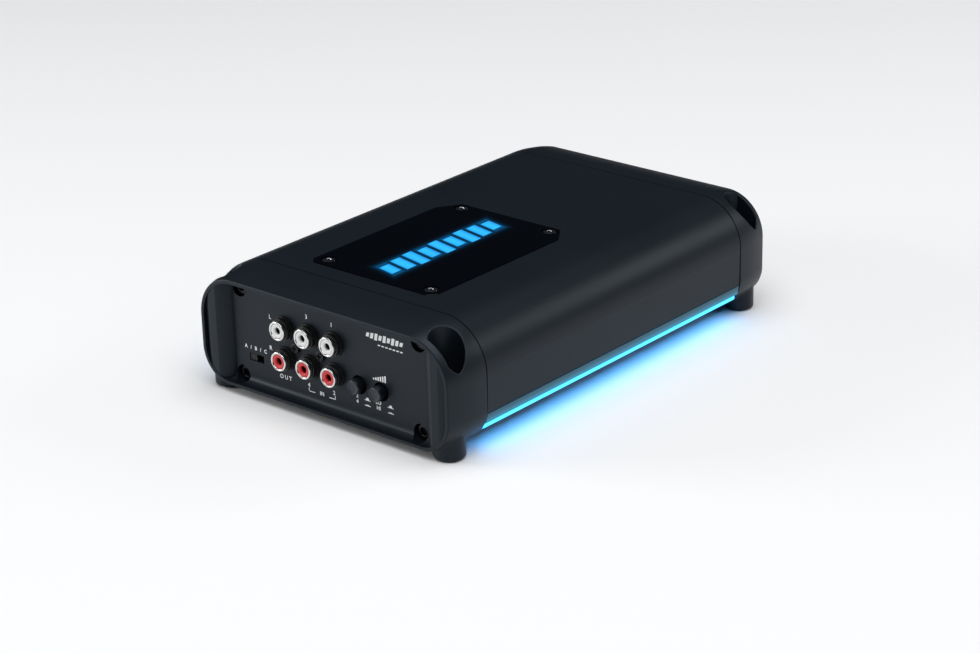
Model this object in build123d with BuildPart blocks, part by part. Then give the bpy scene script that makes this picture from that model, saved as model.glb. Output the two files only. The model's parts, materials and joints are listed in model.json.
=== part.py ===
from build123d import *
import os
from math import hypot, radians, tan

# Four-channel car amplifier. Millimetres, +Z up, long axis along Y.
# The signal panel faces -Y and the power panel faces +Y. The origin is at
# the middle of the feet's rest plane.

os.makedirs("parts", exist_ok=True)


def save(piece, name):
    """Labels a finished piece and writes it to its own STEP file."""
    piece.part.label = name
    export_step(piece.part, f"parts/{name}.step")


# ---------------------------------------------------------------- housing
half_width = 71.1
top_z = 54.4
shoulder_radius = 21.0
cap_bottom_z = 3.5
lower_radius = 15.0

seam_y = 86.7
seal_thickness = 0.6
body_end_y = seam_y - seal_thickness / 2
cap_start_y = seam_y + seal_thickness / 2
cap_end_y = 107.8

# ------------------------------------------------------------ end cap rim
rim_half_width = 68.6
rim_top_z = 51.5
rim_bottom_z = 3.4
rim_top_radius = 19.0
rim_wall = 1.7
panel_y = 102.8
panel_thickness = 2.6
panel_back_y = panel_y - panel_thickness
panel_fillet = 3.5
cap_wall = 3.0

# --------------------------------------------------- mounting posts, feet
post_x = 61.5
post_y = 99.5
post_radius = 8.3
post_front_y = 107.6
pocket_radius = 7.1
pocket_front_y = 104.6
pocket_floor_z = 30.0
foot_radius = 6.7
foot_rounding = 1.5
foot_blend = 2.0
pocket_rounding = 0.5
mount_hole_radius = 2.5

# ------------------------------------------------------------- cap screws
cap_screw_x = 49.7
cap_screw_low_z = 8.2
cap_screw_high_z = 46.9
cap_boss_radius = 5.2
cap_counterbore_radius = 3.9
cap_counterbore_y = 99.0
cap_screw_radius = 2.0
port_radius = 3.6
port_hole_radius = 2.1
pan_head_radius = 3.5
pan_head_height = 2.6
hex_socket_size = 1.9

# ----------------------------------------------------------- badge window
badge_half_width = 34.6
badge_front_y = -77.0
badge_back_y = 14.6
badge_thickness = 1.5
badge_seal_thickness = 0.4
badge_top_z = top_z + 0.2
badge_bottom_z = badge_top_z - badge_thickness
ledge_z = badge_bottom_z - badge_seal_thickness
badge_gap = 0.15
window_half_width = 23.0
window_front_y = -68.2
window_back_y = 5.4
badge_screw_places = [(-28.4, -70.5), (28.4, -70.5), (-24.7, 10.6), (24.7, 10.6)]

# ----------------------------------------------------------- light emblem
emblem_y = (badge_front_y + badge_back_y) / 2
emblem_bar_heights = (9, 12, 14, 10.5, 14, 10.5, 14, 12, 9)
emblem_bar_width = 6.0
emblem_bar_pitch = 8.1
emblem_slant = tan(radians(12))
guide_half_width = 10.5
guide_bottom_z = 51.3

# ------------------------------------------------------------ light rails
rail_inner_x = 63.1
rail_top_z = 16.1
pipe_inner_x = 64.6
pipe_outer_x = 68.3
pipe_bottom_z = 8.8
pipe_top_z = 11.4
rail_end_y = cap_start_y - 0.6
rail_slot_z = 12.6
rail_lip_z = 12.0
led_strip_z = 12.1
led_x = 66.4
led_pitch = 11.5
led_half_length = 1.4
led_half_width = 1.2

# ---------------------------------------------------------- signal panel
rca_columns = (-24.6, -10.6, 3.4)
rca_low_z = 21.3
rca_high_z = 34.9
rca_face_y = 107.4
rca_shell_radius = 4.2
rca_bore_radius = 3.0
rca_flange_radius = 5.3
rca_flange_y = 103.5
rca_collar_radius = 4.9
rca_collar_y = 105.6
rca_socket_radius = 1.75
rca_contact_y = 103.6
rca_screw_places = [(-18.0, 27.9), (-4.0, 27.9)]

slide_x = -41.5
slide_z = 17.2
slide_window_width = 8.3
slide_window_height = 3.4

button_places = {"channel": 16.7, "level": 28.6}
button_z = 20.4
button_radius = 3.25
button_hole_radius = 4.1
button_face_y = 106.9

# ------------------------------------------------------------ main board
board_bottom_z = 12.4
board_thickness = 1.6
board_top_z = board_bottom_z + board_thickness
board_half_width = 59.3
board_half_length = 85.5
tongue_half_width = 43.5
tongue_end_y = 99.6

# --------------------------------------------------------- control board
control_board_z = 38.0
control_top_z = control_board_z + board_thickness
dial_places = {
    "front_gain_dial": (-19.0, -52.0),
    "rear_gain_dial": (19.0, -52.0),
    "front_crossover_dial": (-19.0, -9.0),
    "rear_crossover_dial": (19.0, -9.0),
}
filter_places = {"front_filter_slider": (-19.0, -30.5), "rear_filter_slider": (19.0, -30.5)}
dial_radius = 3.2
dial_top_z = 47.4
dial_body_size = 9.6
dial_body_height = 6.0
running_gap = 0.06

# ----------------------------------------------------- small screws (M3)
tapped_radius = 1.6
clearance_radius = 1.7
shank_radius_m3 = 1.5


# ================================================================ helpers
def end_plane(end, y):
    """An upright plane at distance y from the middle; end is -1 front, +1 rear."""
    return Plane.XZ.offset(-end * y)


def housing_section(width, bottom, top, bottom_radius, top_radius):
    """Rounded outline of the housing, drawn in the open sketch."""
    section = BuildSketch._get_context()
    with Locations((0, (bottom + top) / 2)):
        Rectangle(2 * width, top - bottom)
    rows = section.vertices().group_by(Axis.Y)
    fillet(rows[-1], radius=top_radius)
    rows = section.vertices().group_by(Axis.Y)
    fillet(rows[0], radius=bottom_radius)


def badge_outline():
    """Rectangle with four cut corners, longer cuts at the back."""
    front_cut_x, front_cut_y = 3.4, 3.6
    back_cut_x, back_cut_y = 7.0, 10.5
    w, f, b = badge_half_width, badge_front_y, badge_back_y
    right = [(w - front_cut_x, f), (w, f + front_cut_y), (w, b - back_cut_y), (w - back_cut_x, b)]
    left = [(-x, y) for x, y in reversed(right)]
    Polygon(*right, *left, align=None)


def emblem_bars(shrink):
    """Slanted bars of the emblem, each side drawn in by shrink."""
    middle = (len(emblem_bar_heights) - 1) / 2
    for number, height in enumerate(emblem_bar_heights):
        y = emblem_y + (number - middle) * emblem_bar_pitch
        x = height / 2 - shrink
        half = emblem_bar_width / 2 - shrink
        lean = x * emblem_slant
        Polygon((-x, y - half + lean), (x, y - half - lean),
                (x, y + half - lean), (-x, y + half + lean), align=None)


def box_between(low, high, mode=Mode.ADD):
    """Box from its lowest to its highest corner."""
    middle = [(a + b) / 2 for a, b in zip(low, high)]
    size = [b - a for a, b in zip(low, high)]
    with Locations(tuple(middle)):
        Box(*size, mode=mode)


def rod_y(end, x, z, radius, near_y, far_y, mode=Mode.ADD):
    """Cylinder along Y between two distances from the middle."""
    with Locations((x, end * (near_y + far_y) / 2, z)):
        Cylinder(radius, far_y - near_y, rotation=(90, 0, 0), mode=mode)


def rod_z(x, y, radius, low_z, high_z, mode=Mode.ADD):
    """Upright cylinder between two heights."""
    with Locations((x, y, (low_z + high_z) / 2)):
        Cylinder(radius, high_z - low_z, mode=mode)


def rod_x(side, y, z, radius, near_x, far_x, mode=Mode.ADD):
    """Cylinder along X between two distances from the middle; side is -1 or +1."""
    with Locations((side * (near_x + far_x) / 2, y, z)):
        Cylinder(radius, far_x - near_x, rotation=(0, 90, 0), mode=mode)


def hex_socket_y(end, x, z, y, radius, depth):
    """Six-sided socket cut into a head that faces out along Y."""
    with BuildSketch(end_plane(end, y)) as socket:
        with Locations((x, z)):
            RegularPolygon(radius, side_count=6)
    extrude(socket.sketch, amount=end * depth, mode=Mode.SUBTRACT)


def cross_slot_y(end, x, z, y, size, depth):
    """Cross recess cut into a head that faces out along Y."""
    with Locations((x, end * (y - depth / 2 + 0.05), z)):
        Box(size, depth + 0.1, size * 0.22, mode=Mode.SUBTRACT)
        Box(size * 0.22, depth + 0.1, size, mode=Mode.SUBTRACT)


def flat_front_circles(end, radius, front_y):
    """Circles about both post axes, cut flat at distance front_y."""
    with Locations((-post_x, end * post_y), (post_x, end * post_y)):
        Circle(radius)
    with Locations((0, end * (front_y + 10))):
        Rectangle(2 * half_width, 20, mode=Mode.SUBTRACT)


def cap_screw_set(end):
    """Four pan-head screws that hold an end cap to the body's screw ports."""
    seat = cap_counterbore_y
    for x in (-cap_screw_x, cap_screw_x):
        for z in (cap_screw_low_z, cap_screw_high_z):
            rod_y(end, x, z, cap_screw_radius, seat - 18, seat)
            rod_y(end, x, z, pan_head_radius, seat, seat + pan_head_height)
            hex_socket_y(end, x, z, seat + pan_head_height, hex_socket_size,
                         hex_socket_size)


def post_edges(cap, end, radius, flat_y, low_z, high_z):
    """Slanting edges of a post's outline, round or on its flat, between two heights."""
    found = []
    for edge in cap.edges():
        points = [edge.position_at(part) for part in (0.1, 0.5, 0.9)]
        heights = [point.Z for point in points]
        if min(heights) < low_z or max(heights) > high_z:
            continue
        off_round = [hypot(abs(p.X) - post_x, p.Y - end * post_y) - radius for p in points]
        off_flat = [abs(p.Y) - flat_y for p in points]
        sideways = max(p.X for p in points) - min(p.X for p in points)
        if max(map(abs, off_round)) < 0.02 or (max(map(abs, off_flat)) < 0.02 and sideways > 1):
            found.append(edge)
    return found


def cap_shell(end):
    """Outer form, recess, cavity, posts and feet that both end caps share."""
    cap = BuildPart._get_context()
    # distance along Y, half width, bottom, top and shoulder radius of each section
    sections = [
        (cap_start_y, half_width, cap_bottom_z, top_z, shoulder_radius),
        (97.2, 70.6, 3.48, 53.8, 20.6),
        (cap_end_y, rim_half_width, rim_bottom_z, rim_top_z, rim_top_radius),
    ]
    outlines = []
    for y, width, bottom, top, radius in sections:
        with BuildSketch(end_plane(end, y)) as outline:
            housing_section(width, bottom, top, lower_radius, radius)
        outlines.append(outline.sketch)
    loft(outlines)
    rim = cap.faces().sort_by(Axis.Y)[0 if end < 0 else -1]
    fillet(rim.edges(), radius=0.7)
    outer = cap.part

    # recess in front of the panel
    with BuildSketch(end_plane(end, cap_end_y)) as recess:
        housing_section(rim_half_width - rim_wall, rim_bottom_z + rim_wall, rim_top_z - rim_wall,
                        lower_radius - rim_wall, rim_top_radius - rim_wall)
    extrude(recess.sketch, amount=end * (cap_end_y - panel_y), mode=Mode.SUBTRACT)
    panel = cap.faces().filter_by(Axis.Y).filter_by_position(
        Axis.Y, *sorted((end * panel_y - 0.01, end * panel_y + 0.01)))
    fillet(panel.edges(), radius=panel_fillet)

    # cavity behind the panel
    with BuildSketch(end_plane(end, cap_start_y)) as cavity:
        housing_section(half_width - cap_wall, cap_bottom_z + 2.5, top_z - cap_wall,
                        lower_radius - 2.5, shoulder_radius - cap_wall)
    extrude(cavity.sketch, amount=-end * (panel_back_y - cap_start_y), mode=Mode.SUBTRACT)

    # mounting posts with a flat front, and bosses for the cap screws
    with BuildSketch(Plane.XY.offset(cap_bottom_z)) as posts:
        flat_front_circles(end, post_radius, post_front_y)
    extrude(posts.sketch, amount=top_z - cap_bottom_z)
    for x in (-cap_screw_x, cap_screw_x):
        for z in (cap_screw_low_z, cap_screw_high_z):
            rod_y(end, x, z, cap_boss_radius, cap_start_y, panel_back_y)
    add(outer, mode=Mode.INTERSECT)

    # feet below the posts
    for x in (-post_x, post_x):
        rod_z(x, end * post_y, foot_radius, 0, cap_bottom_z + 8)
    soles = cap.edges().filter_by(GeomType.CIRCLE).group_by(Axis.Z)[0]
    fillet(soles, radius=foot_rounding)
    fillet(post_edges(cap, end, foot_radius, cap_end_y + 1, 2.0, 16.0), radius=foot_blend)

    # corner pockets and the mounting screw holes through the feet
    with BuildSketch(Plane.XY.offset(pocket_floor_z)) as pockets:
        flat_front_circles(end, pocket_radius, pocket_front_y)
    extrude(pockets.sketch, amount=top_z - pocket_floor_z + 1, mode=Mode.SUBTRACT)
    mouths = post_edges(cap, end, pocket_radius, pocket_front_y, pocket_floor_z + 5, top_z)
    fillet(mouths, radius=pocket_rounding)
    for x in (-post_x, post_x):
        rod_z(x, end * post_y, mount_hole_radius, -1, pocket_floor_z + 1, mode=Mode.SUBTRACT)

    # cap screw holes and counterbores
    for x in (-cap_screw_x, cap_screw_x):
        for z in (cap_screw_low_z, cap_screw_high_z):
            rod_y(end, x, z, cap_screw_radius + 0.2, cap_start_y - 1, panel_y, mode=Mode.SUBTRACT)
            rod_y(end, x, z, cap_counterbore_radius, cap_counterbore_y, panel_y + 4,
                  mode=Mode.SUBTRACT)


# ========================================================== heatsink body
flange_x = 44.5
flange_bottom_z = 5.6
flange_top_z = 7.8
leg_inner_x = 60.0
leg_outer_x = 63.0
web_bottom_z = 16.7
web_top_z = 19.7
wall_inner_x = 67.9
inner_shoulder_radius = shoulder_radius - 3.2
ceiling_z = top_z - 3.2
rib_top_z = 36.0
shoulder_z = top_z - shoulder_radius
shoulder_x = half_width - shoulder_radius

base_screw_places = [(x, y) for x in (-56.0, 56.0) for y in (-72.0, 0.0, 72.0)]
clamp_screw_ys = (-37.5, -12.5, 12.5, 37.5)
clamp_screw_z = 27.5

with BuildPart() as heatsink_body:
    with BuildSketch(Plane.XZ.offset(-body_end_y)):
        with BuildLine():
            Line((0, top_z), (shoulder_x, top_z))
            RadiusArc((shoulder_x, top_z), (half_width, shoulder_z), shoulder_radius)
            Polyline((half_width, shoulder_z), (half_width - 0.3, web_bottom_z),
                     (leg_outer_x, web_bottom_z), (leg_outer_x, flange_bottom_z),
                     (flange_x, flange_bottom_z), (flange_x, flange_top_z),
                     (leg_inner_x, flange_top_z), (leg_inner_x, rib_top_z),
                     (leg_outer_x, rib_top_z), (leg_outer_x, web_top_z),
                     (wall_inner_x, web_top_z), (wall_inner_x, shoulder_z))
            RadiusArc((wall_inner_x, shoulder_z), (shoulder_x, ceiling_z), -inner_shoulder_radius)
            Polyline((shoulder_x, ceiling_z), (0, ceiling_z), (0, top_z))
        make_face()
        with Locations((cap_screw_x, cap_screw_high_z), (cap_screw_x, cap_screw_low_z)):
            Circle(port_radius)
        with Locations((cap_screw_x, (cap_screw_high_z + ceiling_z) / 2)):
            Rectangle(1.5 * port_radius, ceiling_z - cap_screw_high_z + 0.4)
        with Locations((cap_screw_x, flange_bottom_z - 5)):
            Rectangle(20, 10, mode=Mode.SUBTRACT)
        with Locations((cap_screw_x, cap_screw_high_z), (cap_screw_x, cap_screw_low_z)):
            Circle(port_hole_radius, mode=Mode.SUBTRACT)
        mirror(about=Plane.YZ)
    extrude(amount=2 * body_end_y)

    # bosses under the badge screws
    for x, y in badge_screw_places:
        rod_z(x, y, 4.0, ceiling_z - 5, ceiling_z + 0.5)
    # ledge for the badge plate, window below it, screw holes
    with BuildSketch(Plane.XY.offset(ledge_z)):
        badge_outline()
    extrude(amount=10, mode=Mode.SUBTRACT)
    box_between((-window_half_width, window_front_y, ceiling_z - 6),
                (window_half_width, window_back_y, top_z + 1), mode=Mode.SUBTRACT)
    for x, y in badge_screw_places:
        rod_z(x, y, tapped_radius, ceiling_z - 6, top_z, mode=Mode.SUBTRACT)
    # holes for the base plate screws and the transistor clamp screws
    for x, y in base_screw_places:
        rod_z(x, y, tapped_radius, flange_bottom_z - 1, flange_top_z + 1, mode=Mode.SUBTRACT)
    for side in (-1, 1):
        for y in clamp_screw_ys:
            rod_x(side, y, clamp_screw_z, tapped_radius, leg_inner_x - 1, leg_outer_x + 1,
                  mode=Mode.SUBTRACT)
save(heatsink_body, "heatsink_body")

# ============================================================= base plate
base_bottom_z = 4.1
base_half_width = 60.0
with BuildPart() as base_plate:
    box_between((-base_half_width, -body_end_y, base_bottom_z),
                (base_half_width, body_end_y, flange_bottom_z))
    fillet(base_plate.edges().filter_by(Axis.Z), radius=2.0)
    with Locations(Plane.XY.rotated((180, 0, 0)).offset(-base_bottom_z)):
        with Locations(*base_screw_places):
            CounterSinkHole(radius=clearance_radius, counter_sink_radius=3.1)
save(base_plate, "base_plate")

with BuildPart() as base_plate_screws:
    for x, y in base_screw_places:
        with Locations((x, y, base_bottom_z + 0.75)):
            Cone(bottom_radius=2.9, top_radius=1.5, height=1.4)
        rod_z(x, y, shank_radius_m3, base_bottom_z + 1.4, flange_top_z + 0.6)
        box_between((x - 1.3, y - 0.3, 0), (x + 1.3, y + 0.3, base_bottom_z + 0.9),
                    mode=Mode.SUBTRACT)
        box_between((x - 0.3, y - 1.3, 0), (x + 0.3, y + 1.3, base_bottom_z + 0.9),
                    mode=Mode.SUBTRACT)
save(base_plate_screws, "base_plate_screws")

# ============================================================== front cap
with BuildPart() as front_cap:
    cap_shell(-1)
    for x in rca_columns:
        for z in (rca_low_z, rca_high_z):
            rod_y(-1, x, z, rca_flange_radius + 0.15, panel_back_y - 1, panel_y + 1,
                  mode=Mode.SUBTRACT)
    for x, z in rca_screw_places:
        rod_y(-1, x, z, 1.45, panel_back_y - 1, panel_y + 1, mode=Mode.SUBTRACT)
    with BuildSketch(end_plane(-1, panel_y)):
        with Locations((slide_x, slide_z)):
            Rectangle(slide_window_width, slide_window_height)
    extrude(amount=-panel_thickness, mode=Mode.SUBTRACT)
    for x in button_places.values():
        rod_y(-1, x, button_z, button_hole_radius, panel_back_y - 1, panel_y + 1,
              mode=Mode.SUBTRACT)
save(front_cap, "front_cap")

# =============================================================== rear cap
power_low, power_high = (-48.0, board_top_z), (-12.0, 33.0)
speaker_low, speaker_high = (-6.0, board_top_z), (48.0, 31.0)
fuse_low, fuse_high = (-42.0, 36.4), (-0.4, 43.6)

with BuildPart() as rear_cap:
    cap_shell(1)
    for low, high in ((power_low, power_high), (speaker_low, speaker_high), (fuse_low, fuse_high)):
        box_between((low[0] - 0.2, panel_back_y - 1, low[1] - 0.2),
                    (high[0] + 0.2, panel_y + 1, high[1] + 0.2), mode=Mode.SUBTRACT)
save(rear_cap, "rear_cap")

# ================================================== seals and cap screws
for end, name in ((-1, "front_seal"), (1, "rear_seal")):
    with BuildPart() as seal:
        with BuildSketch(end_plane(end, body_end_y)):
            housing_section(half_width - 0.5, cap_bottom_z + 0.5, top_z - 0.5,
                            lower_radius - 0.5, shoulder_radius - 0.5)
        extrude(amount=-end * seal_thickness)
        with BuildSketch(end_plane(end, body_end_y)):
            housing_section(wall_inner_x, cap_bottom_z + 2.5, ceiling_z,
                            lower_radius - 2.5, inner_shoulder_radius)
        extrude(amount=-end * seal_thickness, mode=Mode.SUBTRACT)
    save(seal, name)

with BuildPart() as cap_screws:
    for end in (-1, 1):
        cap_screw_set(end)
save(cap_screws, "cap_screws")

# ============================================================ badge plate
badge_counterbore_radius = 3.4
badge_head_radius = 2.85
badge_head_seat_z = badge_top_z - 1.1

with BuildPart() as badge_plate:
    with BuildSketch(Plane.XY.offset(badge_bottom_z)):
        badge_outline()
        offset(amount=-badge_gap, kind=Kind.INTERSECTION, mode=Mode.REPLACE)
    extrude(amount=badge_thickness)
    chamfer(badge_plate.faces().sort_by(Axis.Z)[-1].edges(), length=0.2)
    with BuildSketch(Plane.XY.offset(badge_bottom_z)):
        emblem_bars(0.0)
    extrude(amount=badge_thickness, mode=Mode.SUBTRACT)
    for x, y in badge_screw_places:
        rod_z(x, y, clearance_radius, badge_bottom_z, badge_top_z, mode=Mode.SUBTRACT)
        rod_z(x, y, badge_counterbore_radius, badge_head_seat_z, badge_top_z + 1,
              mode=Mode.SUBTRACT)
save(badge_plate, "badge_plate")

with BuildPart() as badge_seal:
    with BuildSketch(Plane.XY.offset(ledge_z)):
        badge_outline()
        offset(amount=-0.6, kind=Kind.INTERSECTION, mode=Mode.REPLACE)
        with Locations((0, (window_front_y + window_back_y) / 2)):
            Rectangle(2 * window_half_width + 0.4, window_back_y - window_front_y + 0.4,
                      mode=Mode.SUBTRACT)
        with Locations(*badge_screw_places):
            Circle(1.8, mode=Mode.SUBTRACT)
    extrude(amount=badge_seal_thickness)
save(badge_seal, "badge_seal")

with BuildPart() as badge_screws:
    for x, y in badge_screw_places:
        rod_z(x, y, shank_radius_m3, ceiling_z - 4, badge_head_seat_z)
        rod_z(x, y, badge_head_radius, badge_head_seat_z, badge_top_z - 0.1)
    rims = badge_screws.edges().filter_by(GeomType.CIRCLE).group_by(Axis.Z)[-1]
    fillet(rims, radius=0.5)
    with BuildSketch(Plane.XY.offset(badge_top_z - 0.1)):
        with Locations(*badge_screw_places):
            RegularPolygon(radius=1.15, side_count=6)
    extrude(amount=-0.9, mode=Mode.SUBTRACT)
save(badge_screws, "badge_screws")

# ================================================= emblem guide and LEDs
guide_front_y = window_front_y + 0.4
guide_back_y = window_back_y - 0.4

with BuildPart() as emblem_light_guide:
    box_between((-guide_half_width, guide_front_y, guide_bottom_z),
                (guide_half_width, guide_back_y, badge_bottom_z))
    with BuildSketch(Plane.XY.offset(badge_bottom_z)):
        emblem_bars(0.05)
    extrude(amount=badge_thickness - 0.1)
save(emblem_light_guide, "emblem_light_guide")

led_board_z = 48.6
led_board_half_width = 9.0
led_top_z = led_board_z + 1.0 + 0.8
with BuildPart() as emblem_led_board:
    box_between((-led_board_half_width, guide_front_y + 0.6, led_board_z),
                (led_board_half_width, guide_back_y - 0.6, led_board_z + 1.0))
save(emblem_led_board, "emblem_led_board")

with BuildPart() as emblem_leds:
    middle = (len(emblem_bar_heights) - 1) / 2
    for number in range(len(emblem_bar_heights)):
        y = emblem_y + (number - middle) * emblem_bar_pitch
        box_between((-1.75, y - 1.4, led_board_z + 1.0), (1.75, y + 1.4, led_top_z))
save(emblem_leds, "emblem_leds")

# ============================================================ light rails
for side, name in ((-1, "left"), (1, "right")):
    with BuildPart() as rail:
        with BuildSketch(Plane.XZ.offset(-rail_end_y)):
            points = [(rail_inner_x, pipe_bottom_z), (pipe_inner_x, pipe_bottom_z),
                      (pipe_inner_x, rail_slot_z), (pipe_outer_x + 0.2, rail_slot_z),
                      (pipe_outer_x + 0.2, pipe_top_z - 0.1), (half_width - 1.2, rail_lip_z),
                      (half_width - 0.4, rail_top_z), (rail_inner_x, rail_top_z)]
            Polygon(*[(side * x, z) for x, z in points], align=None)
        extrude(amount=2 * rail_end_y)
    save(rail, f"{name}_light_rail")

    with BuildPart() as pipe:
        low_x, high_x = sorted((side * (pipe_inner_x + 0.05), side * pipe_outer_x))
        box_between((low_x, -rail_end_y, pipe_bottom_z), (high_x, rail_end_y, pipe_top_z))
        outer_edges = pipe.edges().filter_by(Axis.Y).sort_by(Axis.X)
        outer_edges = outer_edges[-2:] if side > 0 else outer_edges[:2]
        fillet(outer_edges, radius=0.9)
    save(pipe, f"{name}_light_pipe")

    with BuildPart() as led_strip:
        low_x, high_x = sorted((side * (pipe_inner_x + 0.3), side * (pipe_outer_x - 0.3)))
        box_between((low_x, -rail_end_y + 2, led_strip_z), (high_x, rail_end_y - 2, rail_slot_z))
        for number in range(-7, 8):
            x, y = side * led_x, number * led_pitch
            box_between((x - led_half_width, y - led_half_length, pipe_top_z),
                        (x + led_half_width, y + led_half_length, led_strip_z))
    save(led_strip, f"{name}_led_strip")

# ============================================================== RCA block
rca_block_front_y = panel_back_y - 0.1
rca_block_back_y = 88.0
rca_block_low_x = rca_columns[0] - 7.0
rca_block_high_x = rca_columns[-1] + 7.0

with BuildPart() as rca_housing:
    box_between((rca_block_low_x, -rca_block_front_y, board_top_z),
                (rca_block_high_x, -rca_block_back_y, rca_high_z + 7.0))
    for x in rca_columns:
        for z in (rca_low_z, rca_high_z):
            rod_y(-1, x, z, rca_flange_radius, rca_block_front_y, rca_flange_y)
            rod_y(-1, x, z, rca_collar_radius, rca_flange_y, rca_collar_y)
            with Locations((x, -(rca_flange_y + rca_collar_y) / 2, z)):
                with Locations(Plane.XZ):
                    with PolarLocations(rca_collar_radius, 20):
                        Box(0.5, 0.5, rca_collar_y - rca_flange_y, mode=Mode.SUBTRACT)
            rod_y(-1, x, z, rca_shell_radius + 0.05, 97.0, rca_collar_y + 1, mode=Mode.SUBTRACT)
    for x, z in rca_screw_places:
        rod_y(-1, x, z, 1.25, 92.0, rca_block_front_y + 1, mode=Mode.SUBTRACT)
save(rca_housing, "rca_housing")

with BuildPart() as rca_shells:
    for x in rca_columns:
        for z in (rca_low_z, rca_high_z):
            rod_y(-1, x, z, rca_shell_radius - 0.1, 97.1, rca_collar_y)
            rod_y(-1, x, z, rca_shell_radius, rca_collar_y, rca_face_y)
    mouths = rca_shells.faces().filter_by(Axis.Y).group_by(Axis.Y)[0]
    fillet(mouths.edges(), radius=0.35)
    for x in rca_columns:
        for z in (rca_low_z, rca_high_z):
            rod_y(-1, x, z, rca_bore_radius, 97.1, rca_face_y + 1, mode=Mode.SUBTRACT)
save(rca_shells, "rca_shells")

for z, name in ((rca_high_z, "white_rca_inserts"), (rca_low_z, "red_rca_inserts")):
    with BuildPart() as inserts:
        for x in rca_columns:
            rod_y(-1, x, z, rca_bore_radius - 0.05, 97.1, rca_face_y - 0.3)
            rod_y(-1, x, z, rca_socket_radius, 99.0, rca_face_y, mode=Mode.SUBTRACT)
    save(inserts, name)

with BuildPart() as rca_contacts:
    for x in rca_columns:
        for z in (rca_low_z, rca_high_z):
            rod_y(-1, x, z, 1.6, 99.05, rca_contact_y)
            rod_y(-1, x, z, 1.2, 100.0, rca_contact_y + 1, mode=Mode.SUBTRACT)
save(rca_contacts, "rca_contacts")

with BuildPart() as rca_screws:
    for x, z in rca_screw_places:
        rod_y(-1, x, z, 1.2, 93.0, panel_y)
        rod_y(-1, x, z, 2.3, panel_y, panel_y + 1.5)
        cross_slot_y(-1, x, z, panel_y + 1.5, 2.6, 0.9)
save(rca_screws, "rca_screws")

# ====================================================== mode slide switch
switch_body_front_y = panel_back_y - 0.1
with BuildPart() as mode_switch_body:
    box_between((slide_x - 7.0, -switch_body_front_y, slide_z - 3.1),
                (slide_x + 7.0, -switch_body_front_y + 5.6, slide_z + 3.1))
    box_between((slide_x - 5.2, -switch_body_front_y, slide_z - 1.8),
                (slide_x + 5.2, -switch_body_front_y + 3.6, slide_z + 1.8), mode=Mode.SUBTRACT)
save(mode_switch_body, "mode_switch_body")

knob_width = 3.6
knob_x = slide_x - slide_window_width / 2 + 0.3 + knob_width / 2
with BuildPart() as mode_slider:
    box_between((knob_x - knob_width / 2, -panel_y + 0.3, slide_z - 1.35),
                (knob_x + knob_width / 2, -switch_body_front_y + 0.6, slide_z + 1.35))
    box_between((knob_x - 2.2, -switch_body_front_y + 0.6, slide_z - 1.5),
                (knob_x + 2.2, -switch_body_front_y + 3.3, slide_z + 1.5))
    for step in (-1, 0, 1):
        box_between((knob_x + step * 1.1 - 0.2, -panel_y + 0.1, slide_z - 1.35),
                    (knob_x + step * 1.1 + 0.2, -panel_y + 0.6, slide_z + 1.35),
                    mode=Mode.SUBTRACT)
save(mode_slider, "mode_slider")

# ========================================================== push buttons
for name, x in button_places.items():
    with BuildPart() as switch_body:
        box_between((x - 4.0, -96.6, board_top_z), (x + 4.0, -85.6, button_z + 3.8))
        box_between((x - 1.9, -97.0, button_z - 1.9), (x + 1.9, -92.4, button_z + 1.9),
                    mode=Mode.SUBTRACT)
    save(switch_body, f"{name}_switch_body")

    with BuildPart() as button:
        rod_y(-1, x, button_z, button_radius, 98.9, button_face_y)
        face = button.faces().sort_by(Axis.Y)[0]
        fillet(face.edges(), radius=0.45)
        box_between((x - 1.6, -98.9, button_z - 1.6), (x + 1.6, -94.6, button_z + 1.6))
    save(button, f"{name}_button")

# ============================================================ main board
standoff_places = [(x, y) for x in (-56.3, 56.3) for y in (-82.0, -36.0, 36.0, 82.0)]
control_post_places = [(x, y) for x in (-22.0, 22.0) for y in (-61.5, 0.5)]

with BuildPart() as main_board:
    box_between((-board_half_width, -board_half_length, board_bottom_z),
                (board_half_width, board_half_length, board_top_z))
    box_between((-tongue_half_width, -tongue_end_y, board_bottom_z),
                (tongue_half_width, tongue_end_y, board_top_z))
    for x, y in standoff_places:
        rod_z(x, y, clearance_radius, board_bottom_z, board_top_z, mode=Mode.SUBTRACT)
save(main_board, "main_board")

with BuildPart() as board_standoffs:
    for x, y in standoff_places:
        rod_z(x, y, 2.6, flange_top_z, board_bottom_z)
        rod_z(x, y, tapped_radius, flange_top_z, board_bottom_z, mode=Mode.SUBTRACT)
save(board_standoffs, "board_standoffs")

with BuildPart() as board_screws:
    for x, y in standoff_places:
        rod_z(x, y, shank_radius_m3, flange_top_z + 0.4, board_top_z)
        rod_z(x, y, 2.7, board_top_z, board_top_z + 1.9)
save(board_screws, "board_screws")

# =========================================== supply and output components
transformer_y = 50.0
core_inner, core_outer = 10.5, 16.0
core_low_z, core_high_z = 17.0, 28.0
winding_top_z = core_low_z + core_high_z - board_top_z
with BuildPart() as transformer_core:
    rod_z(0, transformer_y, core_outer, core_low_z, core_high_z)
    rod_z(0, transformer_y, core_inner, core_low_z, core_high_z, mode=Mode.SUBTRACT)
    for edge_group in transformer_core.edges().filter_by(GeomType.CIRCLE).group_by(Axis.Z):
        fillet(edge_group, radius=0.8)
save(transformer_core, "transformer_core")

with BuildPart() as transformer_winding:
    with Locations((0, transformer_y, (board_top_z + winding_top_z) / 2)):
        with PolarLocations((core_inner + core_outer) / 2, 18):
            Box(core_outer - core_inner + 4.2, 1.9, winding_top_z - board_top_z)
            Box(core_outer - core_inner + 0.3, 3.0, core_high_z - core_low_z + 0.3,
                mode=Mode.SUBTRACT)
save(transformer_winding, "transformer_winding")

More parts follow.
